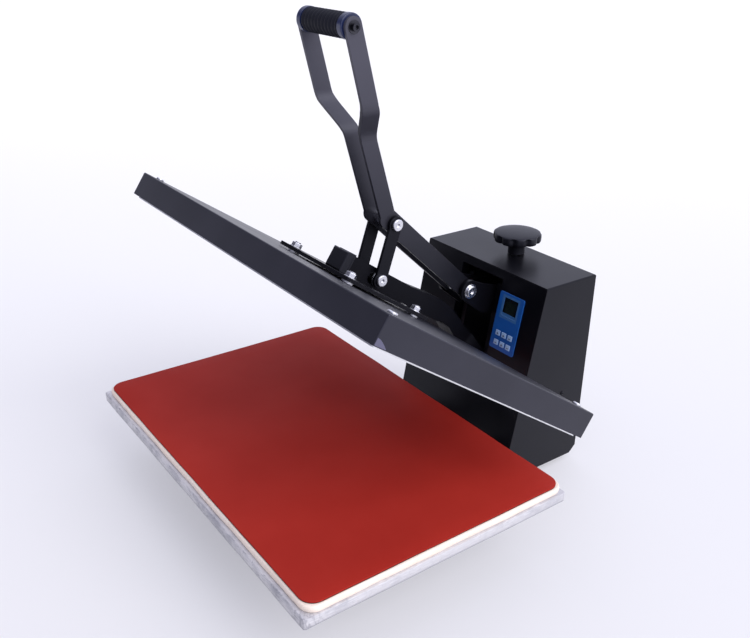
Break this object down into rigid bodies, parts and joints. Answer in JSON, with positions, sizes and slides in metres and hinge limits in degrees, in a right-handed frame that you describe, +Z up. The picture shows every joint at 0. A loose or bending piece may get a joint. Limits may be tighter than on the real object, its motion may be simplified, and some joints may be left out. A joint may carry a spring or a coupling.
{
  "type": "flatbed heat press",
  "caption": "Clamshell flatbed heat press: a wide heated upper platen on a lever-worked arm over a padded lower platen, with a control box and pressure knob behind.",
  "frame": {"origin": "on the floor under the centre of the whole press", "axes": "+X to the operator's right, +Y towards the control box at the back, +Z up"},
  "size_m": [0.621, 0.632, 0.7153],
  "materials": {
    "foot_rubber": "matte",
    "zinc": "satin",
    "black_frame": "satin",
    "black_plastic": "matte",
    "cast_plate": "matte",
    "foam": "matte",
    "red_silicone": "matte",
    "black_coat": "satin",
    "sheet_steel": "satin",
    "grip_rubber": "matte",
    "blue_plastic": "satin",
    "mineral_board": "matte",
    "aluminium": "satin",
    "blue_panel": "satin",
    "display_glass": "gloss",
    "circuit_board": "satin",
    "key_white": "satin"
  },
  "bodies": {
    "base": {"rubber_feet": "foot_rubber", "foot_screws": "zinc", "base_rails": "black_frame", "rail_caps": "black_plastic", "cross_tubes": "black_frame", "platen_stand": "black_frame", "lower_plate": "cast_plate", "plate_bolts": "zinc", "foam_pad": "foam", "silicone_mat": "red_silicone", "box_shell": "black_coat", "front_panel": "black_coat", "floor_tray": "sheet_steel", "mechanism_plate": "black_frame", "uprights": "black_frame", "top_bridge": "black_frame", "bridge_screws": "zinc", "hinge_axle": "zinc", "display_panel": "blue_panel", "lcd_window": "display_glass", "display_board": "circuit_board", "transformer": "sheet_steel", "relay": "black_plastic", "power_inlet": "black_plastic", "switch_housing": "black_plastic"},
    "arm": {"arm_sides": "black_coat", "arm_core": "black_coat", "arm_end_cap": "black_plastic", "mounting_plate": "black_coat", "platen_studs": "zinc", "stud_nuts": "zinc", "cover": "black_coat", "insulation": "mineral_board", "heating_element": "zinc", "heat_plate": "aluminium", "cover_screws": "zinc", "lead_gland": "black_plastic"},
    "fork": {"fork_plates": "black_coat", "nut_block": "black_frame", "handle_pivot_bolt": "zinc"},
    "handle": {"right_handle_bar": "black_coat", "left_handle_bar": "black_coat", "grip_sleeve": "grip_rubber", "grip_collars": "blue_plastic", "grip_rod": "zinc", "grip_screws": "zinc", "handle_spacers": "zinc", "upper_link_bolt": "zinc"},
    "links": {"right_link": "black_coat", "left_link": "black_coat", "lower_link_bolt": "zinc"},
    "pressure_knob": {"knob": "black_plastic", "spindle": "zinc"},
    "rocker": {"power_rocker": "black_plastic"},
    "key_lower_left": {"key_lower_left": "key_white"},
    "key_lower_middle": {"key_lower_middle": "key_white"},
    "key_lower_right": {"key_lower_right": "key_white"},
    "key_upper_left": {"key_upper_left": "key_white"},
    "key_upper_middle": {"key_upper_middle": "key_white"},
    "key_upper_right": {"key_upper_right": "key_white"}
  },
  "joints": [
    {"name": "arm_swing", "type": "hinge", "parent": "base", "child": "arm", "pos_m": [0, 0.21315, 0.1603], "axis": [1, 0, 0], "range_deg": [0, 34.4]},
    {"name": "fork_lift", "type": "slide", "parent": "base", "child": "fork", "axis": [0, 0, 1], "range_m": [-0.0025, 0.0025]},
    {"name": "handle_swing", "type": "hinge", "parent": "fork", "child": "handle", "pos_m": [0, 0.1546, 0.2999], "axis": [1, 0, 0], "range_deg": [0, 55.31]},
    {"name": "link_swing", "type": "hinge", "parent": "handle", "child": "links", "pos_m": [0, 0.0127, 0.432], "axis": [1, 0, 0], "range_deg": [-74.01, 0]},
    {"name": "knob_turn", "type": "hinge", "parent": "base", "child": "pressure_knob", "pos_m": [0, 0.275, 0.328], "axis": [0, 0, 1], "range_deg": [-450, 450]},
    {"name": "rocker_tilt", "type": "hinge", "parent": "base", "child": "rocker", "pos_m": [0.078, 0.31, 0.092], "axis": [1, 0, 0], "range_deg": [0, 16]},
    {"name": "key_lower_left_press", "type": "slide", "parent": "base", "child": "key_lower_left", "axis": [0, 0.9822, -0.188], "range_m": [0, 0.0006], "stiffness_N_per_m": 600},
    {"name": "key_lower_middle_press", "type": "slide", "parent": "base", "child": "key_lower_middle", "axis": [0, 0.9822, -0.188], "range_m": [0, 0.0006], "stiffness_N_per_m": 600},
    {"name": "key_lower_right_press", "type": "slide", "parent": "base", "child": "key_lower_right", "axis": [0, 0.9822, -0.188], "range_m": [0, 0.0006], "stiffness_N_per_m": 600},
    {"name": "key_upper_left_press", "type": "slide", "parent": "base", "child": "key_upper_left", "axis": [0, 0.9822, -0.188], "range_m": [0, 0.0006], "stiffness_N_per_m": 600},
    {"name": "key_upper_middle_press", "type": "slide", "parent": "base", "child": "key_upper_middle", "axis": [0, 0.9822, -0.188], "range_m": [0, 0.0006], "stiffness_N_per_m": 600},
    {"name": "key_upper_right_press", "type": "slide", "parent": "base", "child": "key_upper_right", "axis": [0, 0.9822, -0.188], "range_m": [0, 0.0006], "stiffness_N_per_m": 600}
  ],
  "couplings": [
    {"joint": "handle_swing", "follows": "arm_swing", "ratio": 1.6078},
    {"joint": "link_swing", "follows": "arm_swing", "ratio": -2.1513},
    {"joint": "knob_turn", "follows": "fork_lift", "rad_per_m": -3141.6}
  ]
}
